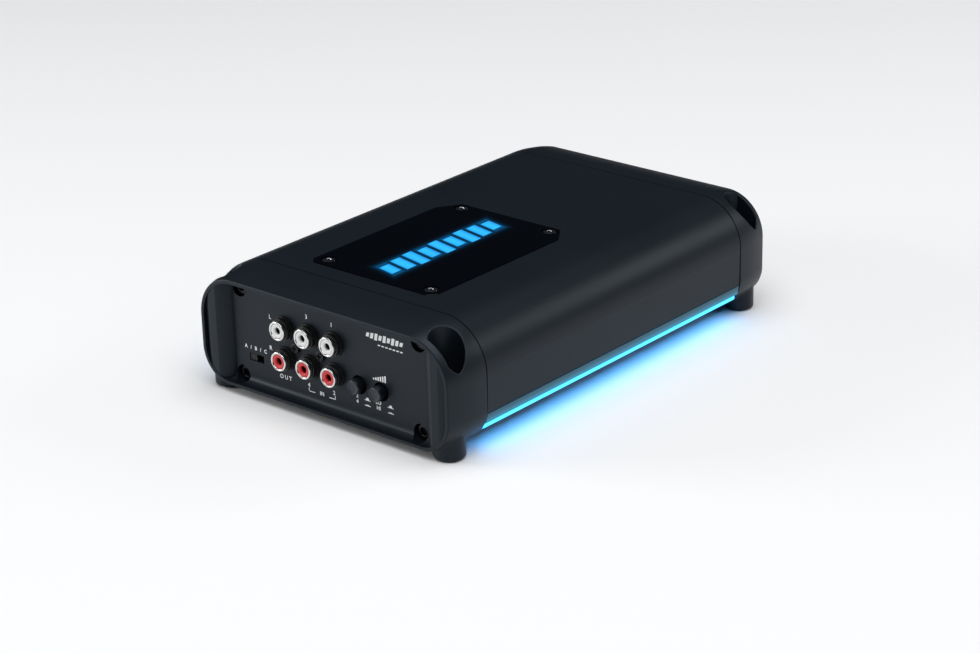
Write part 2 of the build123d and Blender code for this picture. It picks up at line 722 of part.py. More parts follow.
inductor_half, inductor_height = 6.5, 11.0
with BuildPart() as output_inductors:
    for x in (-32.0, 32.0):
        for y in (-22.0, 14.0):
            box_between((x - inductor_half, y - inductor_half, board_top_z),
                        (x + inductor_half, y + inductor_half, board_top_z + inductor_height))
    fillet(output_inductors.edges().filter_by(Axis.Z), radius=1.5)
save(output_inductors, "output_inductors")

capacitor_y, capacitor_radius, capacitor_height = 75.0, 8.0, 26.0
with BuildPart() as supply_capacitors:
    for x in (-38.0, -20.0, 20.0, 38.0):
        rod_z(x, capacitor_y, capacitor_radius, board_top_z, board_top_z + capacitor_height)
    fillet(supply_capacitors.edges().filter_by(GeomType.CIRCLE), radius=0.8)
save(supply_capacitors, "supply_capacitors")

# ===================================== power transistors on the heatsink
pad_x = leg_inner_x - 0.4
package_x = pad_x - 4.5
package_low_z, package_high_z = 18.5, 34.0
lead_x, lead_pitch = 57.4, 2.54
transistor_ys = (-50.0, -25.0, 0.0, 25.0, 50.0)

with BuildPart() as power_transistors:
    for side in (-1, 1):
        for y in transistor_ys:
            near_x, far_x = sorted((side * package_x, side * pad_x))
            box_between((near_x, y - 5.0, package_low_z), (far_x, y + 5.0, package_high_z))
            for lead_y in (y - lead_pitch, y, y + lead_pitch):
                box_between((side * lead_x - 0.25, lead_y - 0.4, board_top_z),
                            (side * lead_x + 0.25, lead_y + 0.4, package_low_z + 0.1))
save(power_transistors, "power_transistors")

with BuildPart() as thermal_pads:
    for side in (-1, 1):
        near_x, far_x = sorted((side * pad_x, side * leg_inner_x))
        box_between((near_x, -58.0, 17.5), (far_x, 58.0, 35.0))
        for y in clamp_screw_ys:
            rod_x(side, y, clamp_screw_z, 2.0, pad_x - 1, leg_inner_x + 1, mode=Mode.SUBTRACT)
save(thermal_pads, "thermal_pads")

clamp_inner_x = package_x - 3.0
with BuildPart() as transistor_clamps:
    for side in (-1, 1):
        near_x, far_x = sorted((side * clamp_inner_x, side * package_x))
        box_between((near_x, -57.0, 23.5), (far_x, 57.0, 31.5))
        for y in clamp_screw_ys:
            rod_x(side, y, clamp_screw_z, clearance_radius, clamp_inner_x - 1, package_x + 1,
                  mode=Mode.SUBTRACT)
save(transistor_clamps, "transistor_clamps")

with BuildPart() as clamp_screws:
    for side in (-1, 1):
        for y in clamp_screw_ys:
            rod_x(side, y, clamp_screw_z, shank_radius_m3, clamp_inner_x, leg_outer_x + 1.5)
            rod_x(side, y, clamp_screw_z, 2.8, clamp_inner_x - 2.4, clamp_inner_x)
save(clamp_screws, "clamp_screws")

# ============================================ control board and its dials
control_half_width, control_front_y, control_back_y = 25.0, -64.6, 3.4
with BuildPart() as control_board:
    box_between((-control_half_width, control_front_y, control_board_z),
                (control_half_width, control_back_y, control_top_z))
save(control_board, "control_board")

with BuildPart() as control_board_posts:
    for x, y in control_post_places:
        rod_z(x, y, 2.5, board_top_z, control_board_z)
    for x in (-6.0, 6.0):
        for y in (-60.0, -2.0):
            rod_z(x, y, 1.5, control_top_z, led_board_z)
save(control_board_posts, "control_board_posts")

with BuildPart() as board_connector:
    box_between((-12.0, -16.0, board_top_z), (12.0, -11.0, control_board_z))
save(board_connector, "board_connector")

with BuildPart() as dial_bodies:
    for x, y in dial_places.values():
        with Locations((x, y, control_top_z + dial_body_height / 2)):
            Box(dial_body_size, dial_body_size, dial_body_height)
        rod_z(x, y, dial_radius + running_gap, control_top_z + 1, dial_top_z, mode=Mode.SUBTRACT)
save(dial_bodies, "dial_bodies")

for name, (x, y) in dial_places.items():
    with BuildPart() as dial:
        rod_z(x, y, dial_radius, control_top_z + 1.1, dial_top_z)
        box_between((x - 0.4, y - dial_radius, dial_top_z - 1.2),
                    (x + 0.4, y + dial_radius, dial_top_z), mode=Mode.SUBTRACT)
    save(dial, name)

filter_travel = 4.0
with BuildPart() as filter_switch_bodies:
    for x, y in filter_places.values():
        box_between((x - 3.2, y - 6.4, control_top_z), (x + 3.2, y + 6.4, control_top_z + 4.4))
        box_between((x - 1.8, y - 5.0, control_top_z + 1),
                    (x + 1.8, y + 5.0, control_top_z + 5), mode=Mode.SUBTRACT)
save(filter_switch_bodies, "filter_switch_bodies")

for name, (x, y) in filter_places.items():
    with BuildPart() as slider:
        start_y = y - filter_travel / 2
        box_between((x - 1.6, start_y - 2.0, control_top_z + 1.2),
                    (x + 1.6, start_y + 2.0, control_top_z + 4.4))
        box_between((x - 1.0, start_y - 1.2, control_top_z + 4.4),
                    (x + 1.0, start_y + 1.2, dial_top_z - 0.6))
    save(slider, name)

# ============================================================= rear panel
block_back_y = 88.0
block_face_y = 106.6
pocket_y = 100.6
terminal_rows = [
    # first way's X, pitch, ways, pocket width, plate size, head radius, shank radius
    (-41.6, 11.6, 3, 10.0, 8.6, 3.9, 2.0),
    (-1.75, 6.5, 8, 5.2, 4.8, 2.3, 1.4),
]
terminal_frames = [(power_low, power_high), (speaker_low, speaker_high)]


def terminal_ways(row):
    """X of each way of a terminal strip."""
    first_x, pitch, ways = row[:3]
    return [first_x + pitch * number for number in range(ways)]


for row, (low, high), name in zip(terminal_rows, terminal_frames,
                                  ("power_terminal_block", "speaker_terminal_block")):
    pocket_width, shank_radius = row[3], row[6]
    middle_z = (low[1] + high[1]) / 2
    with BuildPart() as block:
        box_between((low[0], block_back_y, low[1]), (high[0], block_face_y, high[1]))
        for x in terminal_ways(row):
            box_between((x - pocket_width / 2, pocket_y, low[1] + 2.2),
                        (x + pocket_width / 2, block_face_y + 1, high[1] - 2.2),
                        mode=Mode.SUBTRACT)
            rod_y(1, x, middle_z, shank_radius + 0.1, pocket_y - 7, pocket_y + 1,
                  mode=Mode.SUBTRACT)
    save(block, name)

with BuildPart() as terminal_plates:
    for row, (low, high) in zip(terminal_rows, terminal_frames):
        plate, shank_radius = row[4], row[6]
        middle_z = (low[1] + high[1]) / 2
        for x in terminal_ways(row):
            box_between((x - plate / 2, pocket_y, middle_z - 4.2),
                        (x + plate / 2, pocket_y + 1.2, middle_z + 4.2))
            rod_y(1, x, middle_z, shank_radius + 0.1, pocket_y - 1, pocket_y + 2,
                  mode=Mode.SUBTRACT)
save(terminal_plates, "terminal_plates")

with BuildPart() as terminal_screws:
    for row, (low, high) in zip(terminal_rows, terminal_frames):
        head_radius, shank_radius = row[5], row[6]
        middle_z = (low[1] + high[1]) / 2
        head_y = pocket_y + 1.2
        for x in terminal_ways(row):
            rod_y(1, x, middle_z, shank_radius, pocket_y - 6, head_y)
            rod_y(1, x, middle_z, head_radius, head_y, head_y + head_radius * 0.6)
            cross_slot_y(1, x, middle_z, head_y + head_radius * 0.6, head_radius * 1.15, 0.9)
save(terminal_screws, "terminal_screws")

fuse_width, fuse_height = 19.0, 5.0
fuse_xs = (-31.6, -10.8)
blade_offset = 6.5
fuse_z = (fuse_low[1] + fuse_high[1]) / 2
with BuildPart() as fuse_holder:
    box_between((fuse_low[0] - 1, panel_back_y - 1.3, fuse_low[1] - 1),
                (fuse_high[0] + 1, panel_back_y - 0.1, fuse_high[1] + 1))
    box_between((fuse_low[0], 88.0, fuse_low[1]), (fuse_high[0], 103.6, fuse_high[1]))
    for x in fuse_xs:
        box_between((x - fuse_width / 2 - 0.15, 98.6, fuse_z - fuse_height / 2 - 0.15),
                    (x + fuse_width / 2 + 0.15, 104.0, fuse_z + fuse_height / 2 + 0.15),
                    mode=Mode.SUBTRACT)
        for blade_x in (x - blade_offset, x + blade_offset):
            box_between((blade_x - 2.7, 89.0, fuse_z - 0.4), (blade_x + 2.7, 99.0, fuse_z + 0.4),
                        mode=Mode.SUBTRACT)
save(fuse_holder, "fuse_holder")

with BuildPart() as fuses:
    for x in fuse_xs:
        box_between((x - fuse_width / 2, 98.7, fuse_z - fuse_height / 2),
                    (x + fuse_width / 2, 106.9, fuse_z + fuse_height / 2))
        box_between((x - 6.0, 105.9, fuse_z - fuse_height / 2),
                    (x + 6.0, 107.0, fuse_z - 1.4), mode=Mode.SUBTRACT)
        for blade_x in (x - blade_offset, x + blade_offset):
            box_between((blade_x - 2.6, 89.5, fuse_z - 0.33), (blade_x + 2.6, 98.8, fuse_z + 0.33))
save(fuses, "fuses")
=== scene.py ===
import json
import math

import bmesh
import bpy
import numpy as np
from mathutils import Matrix, Vector


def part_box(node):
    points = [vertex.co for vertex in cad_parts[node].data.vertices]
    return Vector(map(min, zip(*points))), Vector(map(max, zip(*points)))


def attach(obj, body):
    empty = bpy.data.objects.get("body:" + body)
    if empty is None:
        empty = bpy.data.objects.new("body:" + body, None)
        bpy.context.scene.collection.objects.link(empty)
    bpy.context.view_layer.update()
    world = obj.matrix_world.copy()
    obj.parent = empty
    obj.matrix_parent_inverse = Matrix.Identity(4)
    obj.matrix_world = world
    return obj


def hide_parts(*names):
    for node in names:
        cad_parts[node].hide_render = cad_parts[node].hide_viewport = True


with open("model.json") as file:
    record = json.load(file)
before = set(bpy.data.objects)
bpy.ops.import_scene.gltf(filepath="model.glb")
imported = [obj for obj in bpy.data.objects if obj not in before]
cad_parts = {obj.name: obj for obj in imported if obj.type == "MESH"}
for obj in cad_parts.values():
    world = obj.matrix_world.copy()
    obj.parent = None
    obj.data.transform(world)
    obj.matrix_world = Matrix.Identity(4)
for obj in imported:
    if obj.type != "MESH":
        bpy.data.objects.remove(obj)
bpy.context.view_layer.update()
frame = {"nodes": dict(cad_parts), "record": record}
cadNodes = frame["nodes"]
mm = 0.001
print("frame loaded:", len(cadNodes), "nodes")


# shader maths: an expression on wires adds its Math nodes
class Wire:
    def __init__(self, finish, socket):
        self.finish = finish
        self.socket = socket

    def pair(self, operation, first, second):
        return self.finish.add("ShaderNodeMath", {"operation": operation}, {0: first, 1: second})

    def __add__(self, other):
        return self.pair("ADD", self, other)

    def __sub__(self, other):
        return self.pair("SUBTRACT", self, other)

    def __rsub__(self, other):
        return self.pair("SUBTRACT", other, self)

    def __mul__(self, other):
        return self.pair("MULTIPLY", self, other)

    def __truediv__(self, other):
        return self.pair("DIVIDE", self, other)

    __radd__ = __add__
    __rmul__ = __mul__

    def nearest(self):
        return self.pair("ROUND", self, 0.0)

    def higher(self, other):
        return self.pair("MAXIMUM", self, other)

    def lower(self, other):
        return self.pair("MINIMUM", self, other)

    def size(self):
        return self.pair("ABSOLUTE", self, 0.0)

    def exponent(self):
        return self.pair("EXPONENT", self, 0.0)

    # 0 at start, 1 at end, straight between them
    def ramp(self, start, end):
        return self.finish.add("ShaderNodeMapRange", {"clamp": True},
                               {"Value": self, "From Min": start, "From Max": end})


# a material and the one method that adds any node to it
class Finish:
    def __init__(self, name, color=(0.5, 0.5, 0.5), **sockets):
        self.material = bpy.data.materials.new(name)
        self.material.use_nodes = True
        self.tree = self.material.node_tree
        self.shader = self.tree.nodes["Principled BSDF"]
        self.feed(self.shader.inputs["Base Color"], color)
        for label, value in sockets.items():
            self.feed(self.shader.inputs[label.replace("_", " ")], value)

    def feed(self, socket, value):
        if isinstance(value, Wire):
            self.tree.links.new(value.socket, socket)
        elif socket.type == "RGBA":
            socket.default_value = (*value, 1.0)
        else:
            socket.default_value = value

    def add(self, kind, settings=None, inputs=None, output=0):
        node = self.tree.nodes.new(kind)
        for label, value in (settings or {}).items():
            setattr(node, label, value)
        for label, value in (inputs or {}).items():
            self.feed(node.inputs[label], value)
        return Wire(self, node.outputs[output])

    def place(self, scale=(1.0, 1.0, 1.0)):
        spot = self.add("ShaderNodeTexCoord", output="Object")
        if scale == (1.0, 1.0, 1.0):
            return spot
        return self.add("ShaderNodeMapping", {}, {"Vector": spot, "Scale": scale})

    # the three coordinates of the surface point, in metres
    def axes(self):
        spot = self.place()
        return [self.add("ShaderNodeSeparateXYZ", {}, {"Vector": spot}, output=label)
                for label in "XYZ"]

    def noise(self, scale, detail=2.0, stretch=(1.0, 1.0, 1.0), roughness=0.5):
        return self.add("ShaderNodeTexNoise", {},
                        {"Vector": self.place(stretch), "Scale": scale, "Detail": detail,
                         "Roughness": roughness})

    def blend(self, amount, first, second):
        node = self.tree.nodes.new("ShaderNodeMix")
        node.data_type = "RGBA"
        self.feed(node.inputs[0], amount)
        self.feed(node.inputs[6], first)
        self.feed(node.inputs[7], second)
        return Wire(self, node.outputs[2])

    def set(self, label, value):
        self.feed(self.shader.inputs[label], value)
        return self

    def bump(self, height, strength=0.3, distance=0.0001):
        self.set("Normal", self.add("ShaderNodeBump", {},
                                    {"Height": height, "Strength": strength,
                                     "Distance": distance}))
        return self


# fine-grained satin coat: grain in the bump, slow drift in colour and gloss
def coatFinish(name, color, roughness, grain=2600, depth=0.2, drift=0.15, **sockets):
    finish = Finish(name, color, **sockets)
    slow = finish.noise(18, 3)
    fine = finish.noise(grain, 2)
    light = tuple(c * (1 + drift) for c in color)
    dark = tuple(c * (1 - drift) for c in color)
    finish.set("Base Color", finish.blend(slow, dark, light))
    finish.set("Roughness", slow * 0.08 + fine * 0.08 + (roughness - 0.08))
    return finish.bump(fine, depth, 0.00004)


# moulded plastic: faint flow marks and a fine pebble grain
def mouldedFinish(name, color, roughness=0.45, grain=1500, depth=0.15, **sockets):
    finish = Finish(name, color, **sockets)
    flow = finish.noise(60, 3, (1.0, 0.35, 1.0))
    pebble = finish.noise(grain, 3)
    finish.set("Base Color", finish.blend(flow, tuple(c * 0.86 for c in color),
                                          tuple(min(c * 1.14, 1.0) for c in color)))
    finish.set("Roughness", flow * 0.1 + pebble * 0.1 + (roughness - 0.1))
    return finish.bump(pebble, depth, 0.00003)


# plated or bare metal: drawn lines, small stains
def platedFinish(name, color, roughness=0.22, stretch=(1.0, 12.0, 1.0), **sockets):
    finish = Finish(name, color, Metallic=1.0, **sockets)
    lines = finish.noise(900, 3, stretch)
    stain = finish.noise(120, 4)
    finish.set("Base Color", finish.blend(stain, tuple(c * 0.82 for c in color), color))
    finish.set("Roughness", lines * 0.12 + stain * 0.1 + (roughness - 0.11))
    return finish.bump(lines, 0.08, 0.00002)


looks = {}
looks["housing_black"] = coatFinish("satinHousingCoat", (0.0056, 0.0082, 0.0115), 0.42,
                                    Specular_IOR_Level=0.28, Specular_Tint=(0.74, 0.87, 1.0))
looks["base_steel"] = coatFinish("basePlateCoat", (0.016, 0.017, 0.018), 0.5, 1200, 0.3)
looks["screw_black"] = platedFinish("blackenedScrew", (0.032, 0.033, 0.037), 0.34)
looks["seal_rubber"] = mouldedFinish("sealRubber", (0.008, 0.008, 0.009), 0.7)
looks["moulding_black"] = mouldedFinish("connectorPlastic", (0.012, 0.012, 0.013), 0.4)
looks["contact_silver"] = platedFinish("nickelPlate", (0.78, 0.78, 0.77), 0.2)
looks["button_black"] = mouldedFinish("buttonPlastic", (0.008, 0.009, 0.011), 0.30,
                                      Specular_Tint=(0.74, 0.87, 1.0))
jackLow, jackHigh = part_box("white_rca_inserts")
for color, face in (("white", (0.80, 0.80, 0.80)), ("red", (0.60, 0.024, 0.024))):
    # painted shade: the insert's colour darkens from the face inwards, standing in for shade down
    # the socket
    insert = mouldedFinish(color + "Insert", face, 0.3)
    x, y, z = insert.axes()
    deep = y.ramp(jackLow.y + 0.7 * mm, jackLow.y + 1.6 * mm)
    insert.set("Base Color", insert.blend(deep, face, tuple(c * 0.02 for c in face)))
    looks["insert_" + color] = insert
looks["ferrite_grey"] = mouldedFinish("ferrite", (0.045, 0.048, 0.052), 0.6, 900, 0.35)
looks["pad_grey"] = mouldedFinish("thermalPad", (0.22, 0.24, 0.27), 0.7)
looks["dial_white"] = mouldedFinish("dialPlastic", (0.62, 0.62, 0.59), 0.4)
looks["fuse_tan"] = mouldedFinish("fusePlastic", (0.56, 0.33, 0.06), 0.2, Transmission_Weight=0.25)
looks["winding_copper"] = platedFinish("enamelledCopper", (0.62, 0.28, 0.11), 0.3, (1, 1, 6))
looks["capacitor_sleeve"] = mouldedFinish("capacitorSleeve", (0.012, 0.014, 0.02), 0.25)
looks["circuit_board"] = mouldedFinish("boardLacquer", (0.010, 0.06, 0.028), 0.35, 500, 0.2)

# emblem: nine slanted bars, in the middle of the light guide
guideLow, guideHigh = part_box("emblem_light_guide")
emblem = {"middleY": (guideLow.y + guideHigh.y) / 2, "pitch": 8.1 * mm, "barWidth": 6.0 * mm,
          "halfHeight": 6.3 * mm, "slant": math.tan(math.radians(12)), "paintedHaloReach": 0.9 * mm,
          "lastBar": 4.0}

# glossy plate with a painted glow (halo) on its surface that dies away from the nearest bar
badge = Finish("glossBadge", (0.0006, 0.0008, 0.0018), Roughness=0.09, Specular_IOR_Level=0.09)
smudge = badge.noise(45, 3)
badge.set("Roughness", smudge * 0.08 + 0.07)
badge.bump(badge.noise(30, 1), 0.04, 0.0002)
x, y, z = badge.axes()
along = (y - emblem["middleY"] + x * emblem["slant"]) / emblem["pitch"]
barNumber = along.nearest().higher(-emblem["lastBar"]).lower(emblem["lastBar"])
outside = ((along - barNumber).size() * emblem["pitch"] - emblem["barWidth"] / 2).higher(
    x.size() - emblem["halfHeight"]).higher(0.0)
# painted glow: emission on the plate round the bars, standing in for light spilling from them
paintedHalo = (outside / -emblem["paintedHaloReach"]).exponent() * 0.55
badge.set("Emission Color", badge.blend(paintedHalo, (0, 0, 0), (0.004, 0.13, 0.33)))
badge.set("Emission Strength", 1.0)
looks["badge_gloss"] = badge

# lit bars: brighter in the middle of each, bluer at the rim
glow = Finish("blueLight", (0.01, 0.10, 0.2), Roughness=0.3)
x, y, z = glow.axes()
along = (y - emblem["middleY"] + x * emblem["slant"]) / emblem["pitch"]
toRim = (along - along.nearest()).size() * (2 * emblem["pitch"] / emblem["barWidth"])
spread = glow.noise(160, 2)
core = ((1.0 - toRim.ramp(0.35, 1.0)) * 0.7 + spread * 0.4).lower(1.0)
glow.set("Emission Color", glow.blend(core, (0.004, 0.20, 0.62), (0.024, 0.47, 1.0)))
glow.set("Emission Strength", 1.0)
looks["blue_light"] = glow

# side light pipes: cyan core, deeper blue at the upper and lower edge
pipeLow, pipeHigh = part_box("right_light_pipe")
pipe = Finish("sideLightPipe", (0.01, 0.10, 0.12), Roughness=0.25)
x, y, z = pipe.axes()
core = 1.0 - (z - (pipeLow.z + pipeHigh.z) / 2).size().ramp(0.35 * mm, 1.1 * mm)
streak = pipe.noise(300, 2, (1.0, 0.04, 1.0))
seen = pipe.blend(core * (streak * 0.4 + 0.7), (0.003, 0.055, 0.13), (0.018, 0.24, 0.55))
# its underside throws light down on the ground
below = 1.0 - z.ramp(pipeLow.z, pipeLow.z + 0.1 * mm)
pipe.set("Emission Color", pipe.blend(below, seen, (0.035, 0.45, 1.1)))
pipe.set("Emission Strength", 7.0)

# painted glow: the rail above the pipe is given emission on its lower edge, fading upwards,
# standing in for the pipe's light falling on it
railLow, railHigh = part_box("right_light_rail")
rail = mouldedFinish("railPaintedGlow", (0.012, 0.014, 0.017), 0.42)
x, y, z = rail.axes()
paintedRailGlow = (z.ramp(pipeHigh.z, railHigh.z) * -2.3).exponent()
rail.set("Emission Color", rail.blend(paintedRailGlow, (0.0, 0.0, 0.0), (0.004, 0.36, 0.60)))
rail.set("Emission Strength", 1.0)
looks["rail_black"] = rail

slotOf = {part["node"]: part["material_slot"] for part in frame["record"]["subparts"]}
for nodeName, node in cadNodes.items():
    node.data.materials.clear()
    node.data.materials.append(looks[slotOf[nodeName]].material)
for side in ("left", "right"):
    cadNodes[side + "_light_pipe"].data.materials[0] = pipe.material
print("finishes made:", len(bpy.data.materials))


# points of a surface, grid by grid: each grid is [rows, columns, 3], neighbouring points make a
# face, and columns join round to the first
def addSurface(name, grids, finish, body):
    corners = []
    faces = []
    count = 0
    for grid in grids:
        rows, columns = grid.shape[:2]
        index = np.arange(rows * columns).reshape(rows, columns) + count
        ahead = np.roll(index, -1, axis=1)
        faces.append(np.stack([index[:-1], ahead[:-1], ahead[1:], index[1:]], -1).reshape(-1, 4))
        corners.append(grid.reshape(-1, 3))
        count += rows * columns
    mesh = bpy.data.meshes.new(name)
    mesh.from_pydata(np.concatenate(corners).tolist(), [], np.concatenate(faces).tolist())
    work = bmesh.new()
    work.from_mesh(mesh)
    bmesh.ops.remove_doubles(work, verts=work.verts, dist=1e-7)
    bmesh.ops.dissolve_degenerate(work, edges=work.edges, dist=1e-8)
    bmesh.ops.recalc_face_normals(work, faces=work.faces)
    work.to_mesh(mesh)
    work.free()
    mesh.shade_smooth()
    return placePiece(name, mesh, finish, body)


def placePiece(name, mesh, finish, body):
    mesh.materials.clear()
    mesh.materials.append(finish.material)
    piece = bpy.data.objects.new(name, mesh)
    bpy.context.scene.collection.objects.link(piece)
    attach(piece, body)
    return piece


# the two directions square to outward: across to the side, aloft upwards
def sideways(outward):
    outward = np.array(outward, float)
    aloft = np.array((0.0, 0.0, 1.0)) if abs(outward[2]) < 0.5 else np.array((0.0, 1.0, 0.0))
    return np.stack([np.cross(aloft, outward), aloft, outward])


# a turned shape: the profile's (radius, depth) pairs go once round the axis. depth runs along
# outward, so a point is centre + outward * depth + radius * (across cos a + aloft sin a)
def turned(centre, outward, profile, columns=48):
    across, aloft, outward = sideways(outward)
    angle = np.linspace(0, 2 * np.pi, columns, endpoint=False)
    ring = np.cos(angle)[:, None] * across + np.sin(angle)[:, None] * aloft
    profile = np.array(profile, float) * mm
    return (np.array(centre) + profile[:, None, 1:] * outward
            + profile[:, None, :1] * ring[None])


# a screw head: a dome over a disc, less a recess. Height = rise * (1 - (r / R)^4), falling to 0
# at the rim, minus depth where the point lies inside the socket outline, over a soft edge
def screwHead(centre, outward, head, columns=48):
    directions = sideways(outward)
    rimStart = 0.97
    reach = np.concatenate([np.linspace(0.02, 0.9, 26), np.linspace(0.92, 1.0, 7)])
    angle = np.linspace(0, 2 * np.pi, columns, endpoint=False)
    part, turn = np.meshgrid(reach, angle, indexing="ij")
    side = part * head["radius"] * np.cos(turn)
    high = part * head["radius"] * np.sin(turn)
    if head["recess"] == "cross":
        wide = np.maximum(abs(side), abs(high)) - head["socket"]
        narrow = np.minimum(abs(side), abs(high)) - head["socket"] * head["slotWidth"]
        inside = np.maximum(wide, narrow)
    else:
        sector = np.mod(turn, np.pi / 3) - np.pi / 6
        inside = part * head["radius"] * np.cos(sector) - head["socket"]
    softEdge = 0.07 * head["radius"] / 3
    cut = 0.5 - 0.5 * np.tanh(inside / softEdge)
    height = head["height"] + head["rise"] * (1 - part ** 4) - head["depth"] * cut
    rimDrop = 0.18 * head["height"]
    dropped = rimDrop * (part - rimStart) / (1 - rimStart)
    height = np.where(part > rimStart, height - dropped, height)
    crown = np.stack([side, high, height], -1) * mm @ directions
    foot = np.stack([side[-1], high[-1], 0 * high[-1]], -1) * mm @ directions
    middle = crown[:1].mean(1, keepdims=True) + 0 * crown[:1]
    return np.concatenate([middle, crown, foot[None]]) + np.array(centre)


# signal jacks: plated shells with a rolled lip, coloured inserts, sunken contacts
jack = {"shell": 4.2, "bore": 3.25, "hole": 1.55}
outer, bore, hole = jack["shell"], jack["bore"], jack["hole"]
front = (0, -1, 0)
shellLow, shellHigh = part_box("rca_shells")
shells = []
contacts = []
for color in ("red", "white"):
    insertLow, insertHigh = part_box(color + "_rca_inserts")
    row = (insertLow.z + insertHigh.z) / 2
    inserts = []
    for column in np.linspace(shellLow.x + outer * mm, shellHigh.x - outer * mm, 3):
        spot = (column, shellLow.y, row)
        shells.append(turned(spot, front, [
            (outer - 0.1, -8.0), (outer - 0.1, -1.85), (outer, -1.8), (outer, -0.3),
            (outer - 0.08, -0.1), (outer - 0.28, 0), (bore + 0.35, 0), (bore + 0.1, -0.12),
            (bore, -0.35), (bore, -8.0), (outer - 0.1, -8.0)]))
        inserts.append(turned(spot, front, [
            (bore - 0.02, -7.0), (bore - 0.02, -0.45), (bore - 0.2, -0.3), (hole + 0.45, -0.42),
            (hole + 0.15, -0.55), (hole, -0.85), (hole, -7.0), (bore - 0.02, -7.0)]))
        contacts.append(turned(spot, front, [
            (1.5, -8.0), (1.5, -5.6), (1.4, -5.4), (1.2, -5.4), (1.1, -5.6), (1.1, -7.9),
            (0.01, -7.9)], 32))
    slot = "insert_" + color
    piece = addSurface(color + "JackInserts", inserts, looks[slot], "housing")
    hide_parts(color + "_rca_inserts")
for name, grids, node in (("jackShells", shells, "rca_shells"),
                          ("jackContacts", contacts, "rca_contacts")):
    piece = addSurface(name, grids, looks["contact_silver"], "housing")
    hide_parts(node)

# push buttons: softly dished face, quarter-round edge
buttonCap = {"edge": 0.6, "length": 7.9, "dish": 0.22}
for name in ("channel", "level"):
    low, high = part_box(name + "_button")
    radius = (high.x - low.x) / 2 / mm
    spot = ((low.x + high.x) / 2, low.y, (low.z + high.z) / 2)
    edge = buttonCap["edge"]
    profile = [(0.01, -buttonCap["dish"]), (radius * 0.5, -0.18), (radius * 0.78, -0.08)]
    profile += [(radius - edge + edge * math.sin(t), edge * math.cos(t) - edge)
                for t in np.linspace(0, math.pi / 2, 7)]
    profile += [(radius, -buttonCap["length"]), (0.01, -buttonCap["length"])]
    button = addSurface(name + "ButtonCap", [turned(spot, front, profile)],
                        looks["button_black"], name + "_button")
    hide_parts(name + "_button")
print("panel hardware made")

# screw heads, in millimetres: the shanks stay hidden in their holes
capScrew = {"x": 49.7, "y": 99.0, "lowZ": 8.2, "highZ": 46.9}
badgeScrewSeat = 53.5
headKinds = {
    "capScrewHeads": {
        "node": "cap_screws", "look": "screw_black", "radius": 3.5, "height": 2.3, "rise": 0.3,
        "recess": "hex", "socket": 1.55, "depth": 1.9,
        "spots": [((across * capScrew["x"], end * capScrew["y"], z), (0, end, 0))
                  for end in (-1, 1) for across in (-1, 1)
                  for z in (capScrew["lowZ"], capScrew["highZ"])]},
    "badgeScrewHeads": {
        "node": "badge_screws", "look": "badgeScrew", "radius": 2.85, "height": 0.75,
        "rise": 0.25, "recess": "hex", "socket": 1.0, "depth": 0.8,
        "spots": [((across * x, y, badgeScrewSeat), (0, 0, 1))
                  for x, y in ((28.4, -70.5), (24.7, 10.6)) for across in (-1, 1)]},
    "jackScrewHeads": {
        "node": "rca_screws", "look": "screw_black", "radius": 2.3, "height": 1.1, "rise": 0.4,
        "recess": "cross", "socket": 1.3, "slotWidth": 0.22, "depth": 0.9,
        "spots": [((x, -102.8, 27.9), front) for x in (-18.0, -4.0)]},
}
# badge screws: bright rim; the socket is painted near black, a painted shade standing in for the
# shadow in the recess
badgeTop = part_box("badge_plate")[1].z
badgeScrew = platedFinish("badgeScrew", (0.13, 0.13, 0.14), 0.24)
x, y, z = badgeScrew.axes()
rim = z.ramp(badgeTop - 0.7 * mm, badgeTop - 0.4 * mm)
badgeScrew.set("Base Color", badgeScrew.blend(rim, (0.006, 0.006, 0.007), (0.26, 0.26, 0.27)))
looks["badgeScrew"] = badgeScrew
for name, head in headKinds.items():
    heads = [screwHead(np.array(spot) * mm, facing, head) for spot, facing in head["spots"]]
    piece = addSurface(name, heads, looks[head["look"]], "housing")
    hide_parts(head["node"])
print("screw heads made:", len(headKinds), "kinds")

# printed legends: generic letters, numbers and marks, 0.04 mm thick
ink = mouldedFinish("panelInk", (0.84, 0.85, 0.86), 0.5)
legend = {"thickness": 0.04 * mm, "panelY": 102.8 * mm, "boldness": 0.05 * mm}


# sets a flat mesh on a panel: its x goes across, its y goes up, its thickness goes outwards
def printOn(face, flat, x, z):
    sign = -1 if face == "front" else 1
    flat.transform(Matrix(((-sign, 0, 0, x * mm), (0, 0, sign, sign * legend["panelY"]),
                           (0, 1, 0, z * mm), (0, 0, 0, 1))))
    return flat


# raised letters from the built-in font
def words(text, size, spacing=1.0):
    curve = bpy.data.curves.new("words", "FONT")
    curve.body = text
    curve.size = size * mm
    curve.align_x = "CENTER"
    curve.align_y = "CENTER"
    curve.space_character = spacing
    curve.offset = legend["boldness"]
    curve.extrude = legend["thickness"] / 2
    curve.resolution_u = 4
    holder = bpy.data.objects.new("words", curve)
    bpy.context.scene.collection.objects.link(holder)
    flat = bpy.data.meshes.new_from_object(holder.evaluated_get(
        bpy.context.evaluated_depsgraph_get()))
    bpy.data.objects.remove(holder)
    return flat


# closed outline made into a thin plate
def plate(outline):
    flat = bpy.data.meshes.new("plate")
    points = np.array(outline, float) * mm
    count = len(points)
    depth = legend["thickness"] / 2
    low = np.column_stack([points, np.full(count, -depth)])
    high = np.column_stack([points, np.full(count, depth)])
    around = np.arange(count)
    following = np.roll(around, -1)
    walls = np.stack([around, following, following + count, around + count], -1).tolist()
    flat.from_pydata(np.concatenate([low, high]).tolist(), [],
                     [around[::-1].tolist(), (around + count).tolist()] + walls)
    return flat


# upright or leaning bar
def bar(width, height, lean=0.0):
    w, h = width / 2, height / 2
    return plate([(-w - lean, -h), (w - lean, -h), (w + lean, h), (-w + lean, h)])


